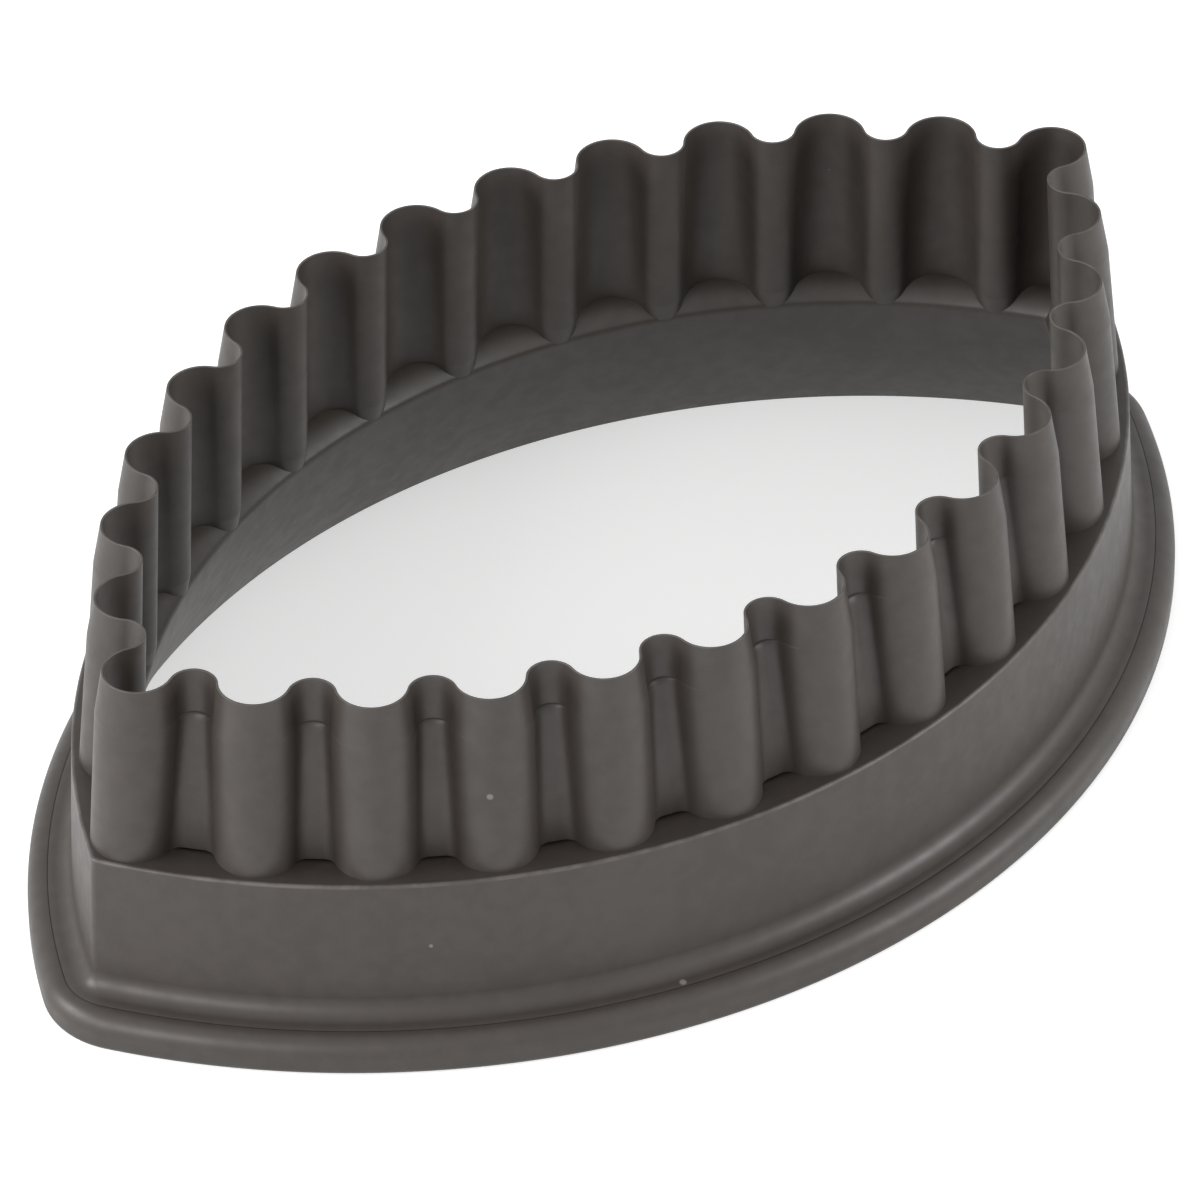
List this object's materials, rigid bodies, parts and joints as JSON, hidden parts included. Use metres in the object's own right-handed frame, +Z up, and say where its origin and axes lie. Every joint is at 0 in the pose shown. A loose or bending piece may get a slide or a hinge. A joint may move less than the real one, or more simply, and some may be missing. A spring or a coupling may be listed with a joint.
{
  "type": "fluted pastry cutter",
  "caption": "Pointed-oval fluted pastry cutter: a moulded ring with a bevelled wavy cutting edge, a ledged skirt and a rounded press flange.",
  "frame": {"origin": "middle of the ring on the plane of the flange's underside", "axes": "+X from point to point along the long axis, +Y across, +Z up to the cutting edge"},
  "size_m": [0.125, 0.0798, 0.034],
  "materials": {
    "composite": "satin, fine texture, warm dark grey"
  },
  "bodies": {
    "root": {"base_flange": "composite", "skirt": "composite", "fluted_wall": "composite", "cutting_lip": "composite"}
  },
  "joints": []
}
